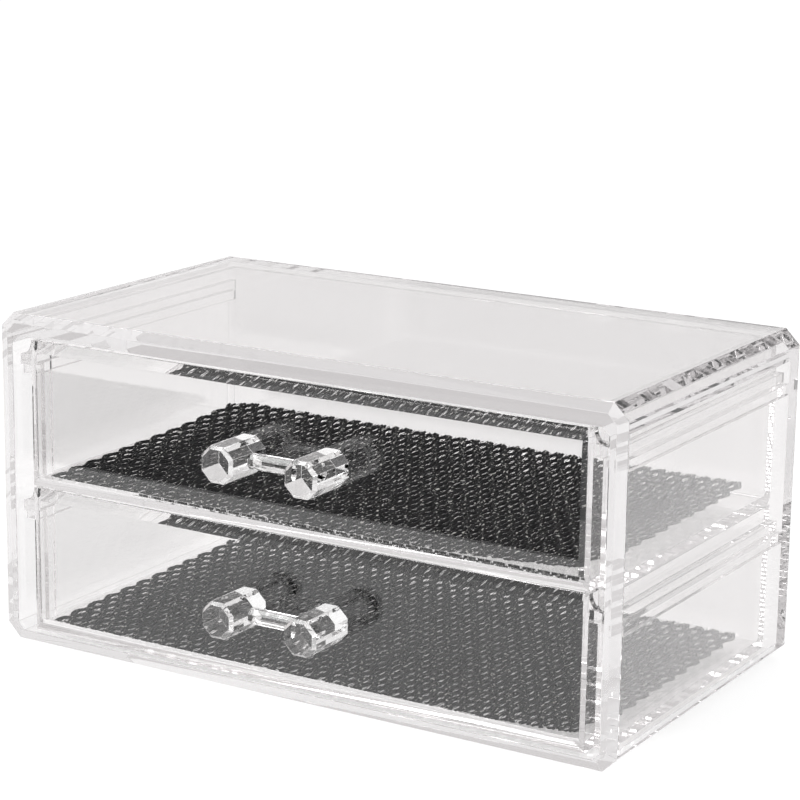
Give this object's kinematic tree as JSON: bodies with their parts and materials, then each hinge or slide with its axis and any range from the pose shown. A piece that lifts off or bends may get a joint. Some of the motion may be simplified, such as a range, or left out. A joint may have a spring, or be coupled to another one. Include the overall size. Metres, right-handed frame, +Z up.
{
  "type": "jewellery organizer",
  "caption": "Low clear organizer for jewellery and make-up: a chamfered open-fronted case with stacked sliding drawers, faceted bar pulls and black net liners.",
  "frame": {"origin": "centre of the case's underside, on the surface that the organizer stands on", "axes": "+Z up, +X to the right as seen from the front, +Y to the back; the drawers open towards -Y"},
  "size_m": [0.24, 0.1489, 0.117],
  "materials": {
    "case_plastic": "clear colourless moulded plastic, polished",
    "tray_plastic": "clear colourless moulded plastic, polished",
    "pull_plastic": "clear colourless moulded plastic, faceted and polished",
    "net": "black open knitted net, matt, with cut edges"
  },
  "bodies": {
    "case": {"case": "case_plastic"},
    "upper_drawer": {"upper_tray": "tray_plastic", "upper_pull": "pull_plastic", "upper_left_peg": "pull_plastic", "upper_right_peg": "pull_plastic", "upper_liner": "net"},
    "lower_drawer": {"lower_tray": "tray_plastic", "lower_pull": "pull_plastic", "lower_left_peg": "pull_plastic", "lower_right_peg": "pull_plastic", "lower_liner": "net"}
  },
  "joints": [
    {"name": "upper_drawer_slide", "type": "slide", "parent": "case", "child": "upper_drawer", "axis": [0, -1, 0], "range_m": [0, 0.1]},
    {"name": "lower_drawer_slide", "type": "slide", "parent": "case", "child": "lower_drawer", "axis": [0, -1, 0], "range_m": [0, 0.1]}
  ]
}
